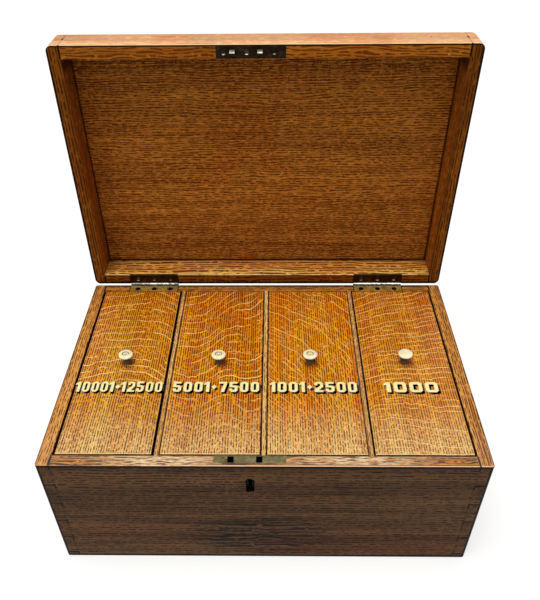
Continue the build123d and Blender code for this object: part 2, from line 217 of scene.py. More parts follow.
for finer, shorter, strength in ((1.0, 1.0, 1.0), (0.41, 0.6, 0.55)):
    count = calc(oak_grain, "DIVIDE", column, times(oak_grain, given["Pitch"], finer))
    number = calc(oak_grain, "FLOOR", count)
    chance = add(oak_grain, "TexWhiteNoise", {"W": number}, noise_dimensions="1D").outputs["Value"]
    along = calc(oak_grain, "DIVIDE", axes[1], times(oak_grain, given["Dash"], shorter))
    along = calc(oak_grain, "MULTIPLY_ADD", chance, 37.0, along)
    spread = add(oak_grain, "CombineXYZ", {0: along, 1: times(oak_grain, number, 7.31)}).outputs[0]
    length = noise(oak_grain, spread, (1, 1, 1), 1.0, 0.4)
    length = calc(oak_grain, "MULTIPLY_ADD", bands, 0.06, length)
    full = calc(oak_grain, "ADD", given["Gaps"], 0.17)
    reach = fade(oak_grain, length, given["Gaps"], full, 0.0, given["Width"])
    aside = calc(oak_grain, "MULTIPLY_ADD", chance, 0.24, 0.38)
    beside = apart_by(oak_grain, calc(oak_grain, "FRACT", count), aside)
    dash = fade(oak_grain, beside, reach, calc(oak_grain, "SUBTRACT", reach, 0.12), 0.0, strength)
    pores = dash if pores is None else calc(oak_grain, "MAXIMUM", pores, dash)
fibre = noise(oak_grain, at, (420, 9, 420), 3.0, 0.65)
streak = noise(oak_grain, at, (62, 1.8, 62), 2.0, 0.6)
tone = calc(oak_grain, "MULTIPLY_ADD", fade(oak_grain, fibre, 0.34, 0.66), 0.5,
            fade(oak_grain, streak, 0.34, 0.66, 0.0, 0.5))
relief = calc(oak_grain, "MULTIPLY_ADD", fibre, 0.25, calc(oak_grain, "SUBTRACT", 1.0, pores))
for name, value in (("Tone", tone), ("Pores", pores), ("Relief", relief)):
    oak_grain.links.new(value, out[name])

# How far a point of a box-shaped piece is from the nearest edge of that box, in metres. Wear follows it,
# as the edges are rubbed first.
edge_distance, given, out = effect(
    "edge_distance",
    [("Vector", "Vector"), ("Middle", "Vector"), ("Half", "Vector")],
    [("Distance", "Float")],
)
apart = add(edge_distance, "VectorMath", {0: given["Vector"], 1: given["Middle"]}, operation="SUBTRACT")
apart = add(edge_distance, "VectorMath", {0: apart.outputs[0]}, operation="ABSOLUTE")
inside = add(edge_distance, "VectorMath", {0: given["Half"], 1: apart.outputs[0]}, operation="SUBTRACT")
inside = split(edge_distance, inside.outputs[0])
low = calc(edge_distance, "MINIMUM", inside[0], inside[1])
high = calc(edge_distance, "MAXIMUM", inside[0], inside[1])
middle = calc(edge_distance, "MAXIMUM", low, calc(edge_distance, "MINIMUM", high, inside[2]))
edge_distance.links.new(middle, out["Distance"])

# Marks of long use: old stains, fine scratches that lie any way, and small dark knocks.
handling, given, out = effect(
    "handling",
    [("Vector", "Vector")],
    [("Stains", "Float"), ("Scratches", "Float"), ("Knocks", "Float")],
)
stain = fade(handling, noise(handling, given["Vector"], (17, 17, 17), 4.0, 0.62), 0.5, 0.72)
lines = []
for angle in (0.6, -1.1):
    turned = add(handling, "VectorRotate", {"Vector": given["Vector"], "Angle": angle},
                 rotation_type="Z_AXIS").outputs[0]
    lines.append(fade(handling, noise(handling, turned, (1400, 16, 60), 0.0), 0.70, 0.76))
thin = fade(handling, noise(handling, given["Vector"], (35, 35, 35), 1.0), 0.45, 0.6)
spot = add(handling, "TexVoronoi", {"Vector": given["Vector"], "Scale": 75.0, "Randomness": 1.0}).outputs
size = add(handling, "SeparateColor", {0: spot["Color"]}).outputs[0]
size = fade(handling, size, 0.80, 1.0, 0.0, 0.10)
handling.links.new(stain, out["Stains"])
handling.links.new(times(handling, calc(handling, "MAXIMUM", *lines), thin), out["Scratches"])
handling.links.new(calc(handling, "LESS_THAN", spot["Distance"], size), out["Knocks"])


def fresh_material(name):
    """An empty material and its nodes."""
    made = bpy.data.materials.new(name)
    made.use_nodes = True
    made.node_tree.nodes.clear()
    return made, made.node_tree


def surface(tree, shade, rough, relief, depth, coat=None, **constants):
    """The surface itself, with its bump, as the material's output."""
    bump = add(tree, "Bump", {"Height": relief, "Strength": 0.6, "Distance": depth})
    sockets = {"Base Color": shade, "Roughness": rough, "Normal": bump.outputs[0]}
    if coat is not None:
        sockets["Coat Weight"] = coat
    sockets.update({name.replace("_", " "): value for name, value in constants.items()})
    made = add(tree, "BsdfPrincipled", sockets)
    add(tree, "OutputMaterial", {"Surface": made.outputs[0]})


def grain_along(tree, at, direction):
    """The place on a board, turned so that the board's grain runs along Y."""
    turns = {"X": (0, 0, pi / 2), "Y": (0, 0, 0), "Z": (pi / 2, 0, 0)}[direction]
    return add(tree, "Mapping", {"Vector": at, "Rotation": turns}).outputs[0]


def oak(name, direction, shift, heart, coats, veils=(), figures=(), pitch=0.0023, wander=0.005,
        dash=0.0055, width=0.26, gaps=0.42, depth=0.92, middle=(0, 0, 0.0685), half=(0.19, 0.1263, 0.0685),
        worn=None, worn_width=0.0024, sheen=0.36, gloss=0.20, glaze=None):
    """Stained oak: its grain in one or more coats of colour, veils that darken a part of it, some of stain
    and some of painted shade, the marks of handling, its worn edges, and figures drawn over them all; some
    coats and figures are painted light or shade."""
    made, tree = fresh_material(name)
    spots = add(tree, "TexCoord").outputs
    at, facing = spots["Object"], spots["Normal"]
    grain = use(tree, oak_grain, Vector=grain_along(tree, at, direction), Shift=shift, Heart=heart,
                Pitch=pitch, Wander=wander, Dash=dash, Width=width, Gaps=gaps)
    marks = use(tree, handling, Vector=at)
    edge = use(tree, edge_distance, Vector=at, Middle=middle, Half=half)["Distance"]
    ends = calc(tree, "ABSOLUTE", split(tree, facing)["XYZ".index(direction)])
    ends = fade(tree, ends, 0.6, 0.9)
    pores = times(tree, grain["Pores"], calc(tree, "SUBTRACT", 1.0, ends))
    dots = fade(tree, noise(tree, at, (700, 700, 700), 2.0, 0.6), 0.45, 0.62, 0.10, 0.6)
    pores = calc(tree, "MAXIMUM", pores, times(tree, ends, dots))
    shade = None
    for where, pale, brown, pore in coats:
        coat = tint(tree, grain["Tone"], brown, pale)
        coat = tint(tree, times(tree, pores, depth), coat, pore)
        shade = coat if where is None else tint(tree, where(tree, at, facing), shade, coat)
    for where, stain in veils:
        shade = tint(tree, where(tree, at, facing), shade, stain, "MULTIPLY")
    _, pale, _, pore = coats[0]
    shade = tint(tree, times(tree, marks["Stains"], 0.30), shade, (0.45, 0.38, 0.32, 1), "MULTIPLY")
    shade = tint(tree, times(tree, marks["Scratches"], 0.22), shade, pale)
    shade = tint(tree, times(tree, marks["Knocks"], 0.6), shade, pore)
    patchy = fade(tree, noise(tree, at, (90, 90, 90), 3.0, 0.6), 0.38, 0.60)
    rub = times(tree, fade(tree, edge, worn_width, worn_width / 5), patchy)
    if worn:
        shade = tint(tree, times(tree, rub, 0.7), shade, worn)
    for where, drawn in figures:
        shade = tint(tree, where(tree, at, facing), shade, drawn)
    rough = calc(tree, "MULTIPLY_ADD", grain["Relief"], -0.14, sheen + 0.14)
    rough = calc(tree, "MULTIPLY_ADD", rub, 0.15, rough)
    coat = glaze(tree, at, facing) if glaze else None
    surface(tree, shade, rough, grain["Relief"], 0.00022, coat, Specular_IOR_Level=gloss, Coat_Roughness=0.25)
    return made


def comb_lines(top, finger, count, along, middle, inner=(0.1784, 0.1147)):
    """Dark glue lines round the fingers of a corner, which follow one another down an axis from the top:
    clear over each side board's finger and part of the way down its end, and faint elsewhere. The inner
    faces of the boards lie so far from the middle."""
    def where(tree, at, facing):
        axes = split(tree, at)
        down = calc(tree, "DIVIDE", calc(tree, "SUBTRACT", top, axes[along]), finger)
        near = apart_by(tree, calc(tree, "FRACT", calc(tree, "ADD", down, 0.5)), 0.5)
        pair = calc(tree, "FRACT", calc(tree, "MULTIPLY_ADD", down, 0.5, 0.05))
        strong = fade(tree, pair, 0.20, 0.30, 1.0, 0.30)
        x = calc(tree, "ABSOLUTE", axes[0])
        y = apart_by(tree, axes[1 if along == 2 else 2], middle)
        flat = times(tree, fade(tree, near, 0.090, 0.055), calc(tree, "GREATER_THAN", down, 0.5),
                     calc(tree, "LESS_THAN", down, count + 0.5), calc(tree, "GREATER_THAN", x, inner[0]),
                     calc(tree, "GREATER_THAN", y, inner[1]))
        ends_x = times(tree, fade(tree, apart_by(tree, x, inner[0]), 0.0010, 0.0006),
                       calc(tree, "GREATER_THAN", y, inner[1] + 0.0004))
        ends_y = times(tree, fade(tree, apart_by(tree, y, inner[1]), 0.0005, 0.0002),
                       calc(tree, "GREATER_THAN", x, inner[0] + 0.0110))
        lines = calc(tree, "MAXIMUM", flat, calc(tree, "MAXIMUM", ends_x, ends_y))
        return times(tree, lines, strong)
    return where


def facing_along(axis, sign, past=None):
    """A share that is 1 on faces that look along an axis, past a level on it if one is given."""
    def where(tree, at, facing):
        turned = times(tree, split(tree, facing)[axis], float(sign))
        share = fade(tree, turned, 0.45, 0.8)
        if past is not None:
            level = times(tree, split(tree, at)[axis], float(sign))
            share = times(tree, share, calc(tree, "GREATER_THAN", level, past))
        return share
    return where


def between(axis, low, high, soft=0.0002, strength=1.0):
    """A share that is 1 between two levels on an axis, with edges as soft as asked."""
    def where(tree, at, facing):
        level = split(tree, at)[axis]
        rise = fade(tree, level, low - soft, low + soft)
        return times(tree, rise, fade(tree, level, high + soft, high - soft, 0.0, strength))
    return where


def near_the_sides(start, end, strength=1.0):
    """A share that rises from one distance off the middle of the box to another, to the left and right."""
    def where(tree, at, facing):
        return fade(tree, calc(tree, "ABSOLUTE", split(tree, at)[0]), start, end, 0.0, strength)
    return where


def all_of(*shares):
    """The share that several shares have in common."""
    def where(tree, at, facing):
        return times(tree, *[share(tree, at, facing) for share in shares])
    return where


def clouded(turns, start, end, strength=1.0):
    """A share that comes and goes in soft clouds."""
    def where(tree, at, facing):
        return fade(tree, noise(tree, at, turns, 3.0, 0.6), start, end, 0.0, strength)
    return where


def over_a_leaf(tree, at, facing):
    """1 over the length of either hinge and a thin margin at its ends, where shade is painted round the
    leaf's recess.
    """
    found, shade_and_dirt = 0.0, 0.0008
    for side in ("left", "right"):
        low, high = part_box(f"hinge_{side}_lid_leaf")
        found = calc(tree, "MAXIMUM", between(0, low.x - shade_and_dirt, high.x + shade_and_dirt)(tree, at, facing), found)
    return found


box_joints = comb_lines(top=0.137, finger=0.013, count=10, along=2, middle=0.0)
up_facing = facing_along(2, 1, 0.130)
front_face = facing_along(1, -1)
# Near black for the glue lines of the joints, and for painted shade along edges and round the hinge leaves.
joint_and_shade_black = colour(22, 13, 8)
# Black for the painted contact shadow at the foot of the boards, and painted shade at their front corners.
shadow_black = colour(4, 2, 2)
# Near black for painted shade in hollows.
hollow_shade = colour(9, 6, 4)
outside_coat = (None, colour(132, 94, 60), colour(72, 46, 26), colour(9, 5, 3))
rim_coat = (up_facing, colour(250, 180, 94), colour(178, 108, 44), colour(62, 28, 8))


def coarse_pores(tree, at, facing):
    """Long open pores low in the middle of the front board, where its heart lies near the face."""
    grain = use(tree, oak_grain, Vector=grain_along(tree, at, "X"), Shift=(0.2, 0.6, 0), Heart=(0, 0, 0.2),
                Pitch=0.0050, Wander=0.030, Dash=0.010, Width=0.24, Gaps=0.30)
    apart = distance_from(tree, at, (-0.005, 0, 0.03667), (16, 0, 36))
    return times(tree, grain["Pores"], fade(tree, apart, 1.3, 0.7))


def wavy_lines(tree, at, facing):
    """Long wavy growth lines along the front rim."""
    grain = use(tree, oak_grain, Vector=grain_along(tree, at, "X"), Shift=(0.1, 0.3, 0), Heart=(0, 0, 0.2),
                Pitch=0.0024, Wander=0.024, Dash=0.014, Width=0.28, Gaps=0.40)
    return times(tree, grain["Pores"], up_facing(tree, at, facing), 0.9)


def glare(tree, at, facing):
    """Where the varnish on the front rim catches the light, in broken flecks."""
    flecks = fade(tree, noise(tree, at, (90, 900, 240), 3.0, 0.7), 0.44, 0.56, 0.0, 0.9)
    spread = calc(tree, "MAXIMUM", between(0, -0.125, -0.045, 0.035)(tree, at, facing),
                  between(0, 0.030, 0.120, 0.040, 0.9)(tree, at, facing))
    return times(tree, flecks, spread, up_facing(tree, at, facing))


right_of_lock = between(0, -0.055, 0.3, 0.020)
# The front edge of the rims right of the lock: worn pale, with a painted highlight along its rounding.
worn_and_lit_lip = (all_of(up_facing, right_of_lock, between(1, -0.1262, -0.1250)), colour(250, 190, 140))
lip_line = (all_of(up_facing, right_of_lock, between(1, -0.1250, -0.1243, 0.0002, 0.9)), colour(60, 28, 12))
# Painted shade along the inner edge of the front rim, where it rounds down into the gap by the covers.
inner_edge_shade = (all_of(up_facing, between(1, -0.1157, -0.1140, 0.0003, 0.9)), colour(46, 24, 12))
# Painted shade: a dark line along the top of the front faces where the edge rounds over, a black contact
# shadow round the foot of each board, and black lines at the ends of the front faces, where they turn away.
edge_shade_lines = [
    (all_of(front_face, between(2, 0.1342, 0.1372, 0.0003, 0.95)), joint_and_shade_black),
    (between(2, -0.001, 0.0036, 0.0004), shadow_black),
    (all_of(front_face, near_the_sides(0.1866, 0.1874)), shadow_black),
]
# Painted shade: near black inside the keyhole and inside the lock's pocket in the front board.
inside_keyhole = all_of(between(0, -0.017, -0.006), between(1, -0.1259, -0.114), between(2, 0.100, 0.122))
lock_pocket = all_of(between(0, -0.036, 0.013), between(1, -0.1245, -0.1149), between(2, 0.090, 0.1366))
front_figures = [
    (coarse_pores, colour(6, 3, 2)), (wavy_lines, colour(58, 26, 9)), (glare, colour(255, 226, 180)),
    worn_and_lit_lip, lip_line, inner_edge_shade, *edge_shade_lines, (inside_keyhole, hollow_shade), (lock_pocket, hollow_shade),
]
back_figures = [
    # Painted shade along the rear edge of the back rim, where it rounds over.
    (all_of(up_facing, between(1, 0.1234, 0.1270, 0.0003, 0.95)), colour(26, 13, 7)),
    # Painted shade on the rim round the hinge leaves.
    (all_of(up_facing, over_a_leaf), joint_and_shade_black),
]
side_figures = [
    # Worn front edge with a painted highlight, painted edge shade, and painted shade along the outer edge of
    # each side rim, where it rounds over.
    worn_and_lit_lip, *edge_shade_lines, (all_of(up_facing, near_the_sides(0.1887, 0.1893, 0.75)), colour(52, 26, 12)),
]
low_clouds = all_of(front_face, between(2, -0.01, 0.045, 0.025), clouded((9, 9, 16), 0.42, 0.60, 0.8))
red_stain = (1.0, 0.72, 0.60, 1)
# The rims are darker and more olive towards the back.
rear_of_rims = all_of(up_facing, between(1, 0.020, 0.2, 0.060))
olive_towards_back = (0.86, 0.80, 0.62, 1)
for board, direction, shift, heart, figures, pitch, dash, width, gaps in (
    ("front_board", "X", (0.3, 0, 0), (0, 0, 0.10), front_figures, 0.0034, 0.0052, 0.23, 0.42),
    ("back_board", "X", (0.7, 0, 0.1), (0, 0, 0.14), back_figures, 0.0024, 0.0070, 0.28, 0.40),
    ("left_board", "Y", (0.2, 0.4, 0), (0.0, 0, 0.3), side_figures, 0.0021, 0.0070, 0.27, 0.40),
    ("right_board", "Y", (0.9, 0.1, 0), (0.3, 0, 0.2), side_figures, 0.0021, 0.0070, 0.27, 0.40),
):
    nodes[board].material_slots[0].material = oak(
        board + "_oak", direction, shift, heart, [outside_coat, rim_coat],
        veils=[(low_clouds, red_stain), (rear_of_rims, olive_towards_back)],
        figures=[*figures, (box_joints, joint_and_shade_black)], pitch=pitch, wander=0.010, dash=dash, width=width,
        gaps=gaps, worn=colour(214, 150, 92), worn_width=0.0006, sheen=0.42, gloss=0.06,
        glaze=all_of(up_facing, between(1, -0.2, -0.090, 0.030, 0.8)))

# Base and ledges: a plain oak base held in a rebate, and oak strips glued to the boards at each end of
# a compartment, which carry the covers. All are left unpolished.
raw_coat = (None, colour(176, 130, 84), colour(138, 94, 56), colour(84, 54, 32))
for piece, shift, heart in (
    ("base_board", (0.1, 0.5, 0.2), (0, 0, 0.09)),
    ("front_ledges", (0.5, 0.2, 0.3), (0.1, 0, 0.2)),
    ("back_ledges", (0.8, 0.3, 0.1), (0.1, 0, 0.3)),
):
    nodes[piece].material_slots[0].material = oak(
        piece + "_oak", "X", shift, heart, [raw_coat], middle=(0, 0, 0.0035),
        half=(0.184, 0.12, 0.0035), sheen=0.55)

# Dividers: three thin oak boards housed in the front and back, their rounded tops flush with the
# covers, and their sides and top edges painted dark as shade in the gaps where the covers slide past.
def all_but(share):
    """What another share leaves."""
    def where(tree, at, facing):
        return calc(tree, "SUBTRACT", 1.0, share(tree, at, facing))
    return where


def divider_edges(middle, half):
    """Painted shade: thin dark lines along both top edges of a divider, where they round down into the gaps.
    """
    def where(tree, at, facing):
        aside = apart_by(tree, split(tree, at)[0], middle)
        return fade(tree, aside, half - 0.0009, half - 0.0004, 0.0, 0.8)
    return where


divider_coat = (None, colour(255, 212, 138), colour(214, 146, 76), colour(84, 44, 18))
# Painted shade: the faces of dividers and covers that do not look up are dark, as in the gaps.
gap_shade_coat = (all_but(facing_along(2, 1)), colour(40, 25, 14), colour(26, 16, 9), colour(12, 8, 5))
for number, name in enumerate(("divider_left", "divider_middle", "divider_right")):
    low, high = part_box(name)
    middle, half = (low + high) / 2, (high - low) / 2
    nodes[name].material_slots[0].material = oak(
        name + "_oak", "Y", (0.37 * number, 0.2, 0.1), (0.12, 0, 0.05), [divider_coat, gap_shade_coat],
        figures=[(divider_edges(middle.x, half.x), colour(60, 30, 12))], pitch=0.0016, gaps=0.40,
        middle=tuple(middle), half=tuple(half), worn=colour(232, 180, 116), worn_width=0.0004, gloss=0.1)

# Covers: four quarter-sawn oak boards, polished golden. Pale rays cross the grain of each in its own
# figure, strongest towards the back.
ray_lines, given, out = effect(
    "ray_lines",
    [("Vector", "Vector"), ("Slope", "Float"), ("Fan", "Float"), ("Crest", "Float"), ("Left Arch", "Float"),
     ("Right Arch", "Float"), ("Swell", "Float"), ("Swell Length", "Float"), ("Spacing", "Float"),
     ("Width", "Float"), ("Wander", "Float"), ("Breaks", "Float"), ("Seed", "Float")],
    [("Lines", "Float"), ("Fine", "Float")],
)
seeded = add(ray_lines, "CombineXYZ", {2: given["Seed"]})
at = add(ray_lines, "VectorMath", {0: given["Vector"], 1: seeded.outputs[0]}, operation="ADD").outputs[0]
axes = split(ray_lines, given["Vector"])
side = calc(ray_lines, "SUBTRACT", axes[0], given["Crest"])
square = times(ray_lines, side, side)
left = times(ray_lines, calc(ray_lines, "LESS_THAN", side, 0.0), given["Left Arch"])
right = times(ray_lines, calc(ray_lines, "GREATER_THAN", side, 0.0), given["Right Arch"])
rise = calc(ray_lines, "MULTIPLY_ADD", axes[1], given["Fan"], given["Slope"])
course = calc(ray_lines, "MULTIPLY_ADD", square, calc(ray_lines, "ADD", left, right), axes[1])
course = calc(ray_lines, "SUBTRACT", course, times(ray_lines, axes[0], rise))
turn = times(ray_lines, calc(ray_lines, "DIVIDE", side, given["Swell Length"]), 2 * pi)
swell = times(ray_lines, calc(ray_lines, "SINE", turn), given["Swell"])
course = calc(ray_lines, "SUBTRACT", course, swell)
sway = calc(ray_lines, "SUBTRACT", noise(ray_lines, at, (26, 16, 1), 1.0), 0.5)
course = calc(ray_lines, "MULTIPLY_ADD", sway, given["Wander"], course)
shiver = calc(ray_lines, "SUBTRACT", noise(ray_lines, at, (160, 60, 1), 1.0), 0.5)
course = calc(ray_lines, "MULTIPLY_ADD", shiver, 0.0050, course)
for output, share, low, high in (("Lines", 1.0, 0.41, 0.50), ("Fine", 0.37, 0.50, 0.60)):
    gap = times(ray_lines, given["Spacing"], share)
    count = calc(ray_lines, "DIVIDE", course, gap)
    number = calc(ray_lines, "FLOOR", count)
    chance = calc(ray_lines, "MULTIPLY_ADD", given["Seed"], 31.7, number)
    chance = add(ray_lines, "TexWhiteNoise", {"W": chance}, noise_dimensions="1D").outputs["Value"]
    aside = calc(ray_lines, "MULTIPLY_ADD", chance, 0.44, 0.28)
    near = apart_by(ray_lines, calc(ray_lines, "FRACT", count), aside)
    near = calc(ray_lines, "DIVIDE", times(ray_lines, near, gap), given["Width"])
    broken = times(ray_lines, axes[0], given["Breaks"])
    broken = add(ray_lines, "CombineXYZ", {0: broken, 1: number, 2: given["Seed"]}).outputs[0]
    broken = fade(ray_lines, noise(ray_lines, broken, (1, 0.731, 1), 1.0), low, high)
    broken = times(ray_lines, broken, fade(ray_lines, chance, 0.0, 0.7, 0.45, 1.0))
    ray_lines.links.new(times(ray_lines, fade(ray_lines, near, 1.0, 0.4), broken), out[output])


def cover_rays(middle, ray_figure, at_front):
    """The ray figure of one cover, about its own middle, weaker towards the front."""
    def where(tree, at, facing):
        own = add(tree, "Mapping", {"Vector": at, "Location": (-middle.x, 0, -middle.z)}).outputs[0]
        found = use(tree, ray_lines, Vector=own, **ray_figure)
        back = fade(tree, split(tree, own)[1], -0.065, -0.025, at_front, 0.95)
        flecks = times(tree, found["Lines"], back)
        return calc(tree, "MAXIMUM", flecks, times(tree, found["Fine"], 0.25))
    return where


def dark_spot(x, y, size):
    """A small dark mark of uneven outline, twice as long as it is wide."""
    def where(tree, at, facing):
        apart = distance_from(tree, at, (x, y, 0), (1, 0.5, 0))
        uneven = calc(tree, "MULTIPLY_ADD", noise(tree, at, (500, 500, 500), 1.0), size, apart)
        return fade(tree, uneven, size * 1.3, size * 0.8, 0.0, 0.8)
    return where


def knob_shadow(x, y):
    """Painted shadow of a knob on its cover, round its foot."""
    def where(tree, at, facing):
        return fade(tree, distance_from(tree, at, (x, y, 0)), 0.0095, 0.0040, 0.0, 0.9)
    return where


# Painted sheen: the front part of each cover in a paler coat, as the light it reflects there.
sheen_front = all_of(facing_along(2, 1), between(1, -0.3, -0.080, 0.035, 0.8))
sheen_coat = (sheen_front, colour(255, 214, 134), colour(232, 158, 82), colour(112, 56, 20))


def front_flecks(tree, at, facing):
    """Painted highlight: pale flecks of sheen in the front part of a cover, along its grain."""
    flecks = fade(tree, noise(tree, at, (900, 330, 60), 3.0, 0.7), 0.50, 0.60, 0.0, 0.75)
    return times(tree, flecks, sheen_front(tree, at, facing))


for number, gold, pore_depth, spot, rays_at_front, ray_figure in (
    (1, (colour(255, 192, 44), colour(242, 144, 20), colour(100, 38, 2)), 1.0,
     (-0.1435, -0.0040, 0.0011), 0.30,
     dict(Crest=0.014, Left_Arch=3.3, Right_Arch=22.0, Spacing=0.0100, Width=0.00066, Wander=0.016,
          Breaks=45.0, Seed=1.0)),
    (2, (colour(255, 178, 40), colour(238, 128, 16), colour(98, 35, 2)), 1.0,
     (-0.0460, -0.0130, 0.0013), 0.45,
     dict(Slope=0.42, Fan=5.0, Crest=-0.006, Swell=0.0055, Swell_Length=0.055, Spacing=0.0115, Width=0.00066,
          Wander=0.014, Breaks=45.0, Seed=2.0)),
    (3, (colour(255, 180, 32), colour(242, 128, 12), colour(100, 37, 2)), 0.95,
     (0.0470, -0.0060, 0.0008), 0.80,
     dict(Slope=-1.15, Fan=7.0, Crest=-0.040, Right_Arch=3.0, Spacing=0.0095, Width=0.00060, Wander=0.030,
          Breaks=110.0, Seed=3.0)),
    (4, (colour(255, 176, 38), colour(226, 122, 18), colour(94, 36, 3)), 0.90,
     (0.1690, -0.0300, 0.0007), 0.80,
     dict(Slope=0.05, Fan=2.2, Crest=-0.020, Left_Arch=17.0, Swell=0.0010, Swell_Length=0.045, Spacing=0.0066,
          Width=0.00052, Wander=0.008, Breaks=34.0, Seed=4.0)),
):
    name = f"compartment_cover_{number}"
    low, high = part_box(name)
    middle, half = (low + high) / 2, (high - low) / 2
    knob_low, knob_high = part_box(f"knob_{number}")
    knob = (knob_low + knob_high) / 2
    # Painted highlight along the cover's rounded front edge.
    lit_front_edge = all_of(facing_along(2, 1), between(1, low.y, low.y + 0.0009, 0.0002, 0.7))
    nodes[name].material_slots[0].material = oak(
        name + "_oak", "Y", (0.31 * number, 0.17 * number, 0), (2.0, 0, 0.1),
        [(None, *gold), sheen_coat, gap_shade_coat],
        # Painted shade, darker towards the back under the open lid; then the knob's painted shadow; then
        # stain.
        veils=[(between(1, 0.060, 0.3, 0.055, 0.8), (0.90, 0.72, 0.46, 1)),
               (knob_shadow(knob.x + 0.0015, knob.y - 0.0020), (0.50, 0.36, 0.28, 1)),
               (clouded((34, 2.5, 34), 0.50, 0.62, 0.45), (0.84, 0.68, 0.46, 1))],
        figures=[(front_flecks, colour(255, 232, 168)),
                 (cover_rays(middle, ray_figure, rays_at_front), colour(255, 224, 134)),
                 (dark_spot(*spot), colour(46, 20, 6)), (lit_front_edge, colour(255, 216, 150))],
        pitch=0.0022, wander=0.003, dash=0.0038, width=0.29, gaps=0.35, depth=pore_depth,
        middle=tuple(middle), half=tuple(half), worn=colour(236, 178, 104), worn_width=0.0009, sheen=0.20,
        gloss=0.25)

# Painted numbers: plain numbers in block digits on each cover, with a lozenge between two of them,
# sign-painted by hand in cream with a black block shadow to the lower right.
def brushed_paint(name, light, dark, sheen):
    """Oil paint with its brush marks, thin in places."""
    made, tree = fresh_material(name)
    at = add(tree, "TexCoord").outputs["Object"]
    brushed = noise(tree, at, (120, 900, 60), 3.0)
    shade = tint(tree, fade(tree, brushed, 0.35, 0.65), dark, light)
    surface(tree, shade, calc(tree, "MULTIPLY_ADD", brushed, 0.2, sheen), brushed, 0.0001)
    return made


def block_digit(glyph, wide, bar):
    """The outlines of a block digit, 1 high, with cut corners and strokes as wide as the bar. The letter
    o stands for the lozenge."""
    cut, inner = 0.15, 0.05
    near, far = bar, wide - bar
    up, down = bar * 0.86, 1 - bar * 0.86
    if glyph == "0":
        return [
            [(cut, 0), (wide - cut, 0), (wide, cut), (wide, 1 - cut), (wide - cut, 1), (cut, 1), (0, 1 - cut),
             (0, cut)],
            [(near, up + inner), (near, down - inner), (near + inner, down), (far - inner, down),
             (far, down - inner), (far, up + inner), (far - inner, up), (near + inner, up)]]
    if glyph == "1":
        left, flag = wide - bar * 1.1, wide - bar * 1.1 - 0.16
        return [[(left, 0), (wide, 0), (wide, 1), (left + 0.06, 1), (flag, 0.82), (flag, 0.66), (left, 0.74)]]
    if glyph == "2":
        return [[(0, 0), (wide, 0), (wide, up), (near + 0.08, up), (wide, 0.52), (wide, 1 - cut),
                 (wide - cut, 1), (cut, 1), (0, 1 - cut), (0, 0.66), (near, 0.66), (near, down - inner),
                 (near + inner, down), (far - inner, down), (far, down - inner), (far, 0.60), (0, up + 0.06)]]
    if glyph == "5":
        bowl = 0.64
        return [[(0, cut), (cut, 0), (wide - cut, 0), (wide, cut), (wide, bowl - cut), (wide - cut, bowl),
                 (near, bowl), (near, down), (wide - 0.03, down), (wide - 0.03, 1), (0, 1), (0, bowl - up),
                 (far - inner, bowl - up), (far, bowl - inner - up), (far, up + inner), (far - inner, up),
                 (near + inner, up), (near, up + inner), (near, 0.33), (0, 0.33)]]
    if glyph == "7":
        return [[(0, 1), (0, down), (far - 0.02, down), (0.16, 0), (0.16 + bar * 1.15, 0), (wide, 0.82),
                 (wide, 1)]]
    middle = wide / 2
    return [[(middle, 0.28), (middle + 0.18, 0.5), (middle, 0.72), (middle - 0.18, 0.5)]]


def select_only(*pieces):
    """Selects these pieces alone; the last one is active."""
    bpy.ops.object.select_all(action="DESELECT")
    for piece in pieces:
        piece.select_set(True)
    bpy.context.view_layer.objects.active = pieces[-1]


cream = brushed_paint("cream_paint", colour(255, 248, 190), colour(242, 228, 148), 0.4)
black = brushed_paint("black_paint", colour(22, 18, 14), colour(9, 7, 6), 0.3)
cover_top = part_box("compartment_cover_1")[1].z
digit_foot, digit_height = -0.0404, 0.0132
fall = (0.0019, -0.0024)
for number, glyphs, band, bar, gap in (
    (1, "10001o12500", 0.0800, 0.18, 0.0019), (2, "5001o7500", 0.0800, 0.21, 0.0022),
    (3, "1001o2500", 0.0800, 0.21, 0.0022), (4, "1000", 0.0500, 0.26, 0.0030),
):
    low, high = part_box(f"compartment_cover_{number}")
    left = (low.x + high.x - band) / 2
    shares = [0.64 if glyph in "1o" else 1.0 for glyph in glyphs]
    step = (band + gap) / sum(shares)
    outlines = bpy.data.curves.new(f"painted_number_{number}", "CURVE")
    outlines.dimensions = "2D"
    outlines.fill_mode = "BOTH"
    start = 0.0
    for glyph, share in zip(glyphs, shares):
        for loop in block_digit(glyph, (share * step - gap) / digit_height, bar):
            line = outlines.splines.new("POLY")
            line.points.add(len(loop) - 1)
            line.use_cyclic_u = True
            for point, (x, y) in zip(line.points, loop):
                point.co = (start + x * digit_height, y * digit_height, 0, 1)
        start += share * step
    painted = bpy.data.objects.new(f"painted_number_{number}", outlines)
    scene.collection.objects.link(painted)
    select_only(painted)
    bpy.ops.object.convert(target="MESH")
    painted = bpy.context.object
    painted.data.transform(Matrix.Translation((left, digit_foot, cover_top)))
    bpy.ops.object.duplicate()
    shadow = bpy.context.object
    shadow.name = f"painted_shadow_{number}"
    bpy.ops.object.mode_set(mode="EDIT")
    bpy.ops.mesh.select_all(action="SELECT")
    bpy.ops.mesh.delete(type="ONLY_FACE")
    bpy.ops.mesh.select_all(action="SELECT")
    bpy.ops.mesh.extrude_edges_move(TRANSFORM_OT_translate={"value": (*fall, 0)})
    bpy.ops.object.mode_set(mode="OBJECT")
    select_only(painted)
    bpy.ops.object.duplicate()
    far_end = bpy.context.object
    far_end.data.transform(Matrix.Translation((*fall, 0)))
    select_only(far_end, shadow)
    bpy.ops.object.join()
    for piece, paint, lift in ((painted, cream, 0.00018), (shadow, black, 0.00006)):
        select_only(piece)
        piece.data.materials.clear()
        piece.data.materials.append(paint)
        solid = piece.modifiers.new("coat", "SOLIDIFY")
        solid.thickness = lift
        solid.offset = 1.0
        bpy.ops.object.modifier_apply(modifier="coat")
        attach(piece, f"cover_{number}")
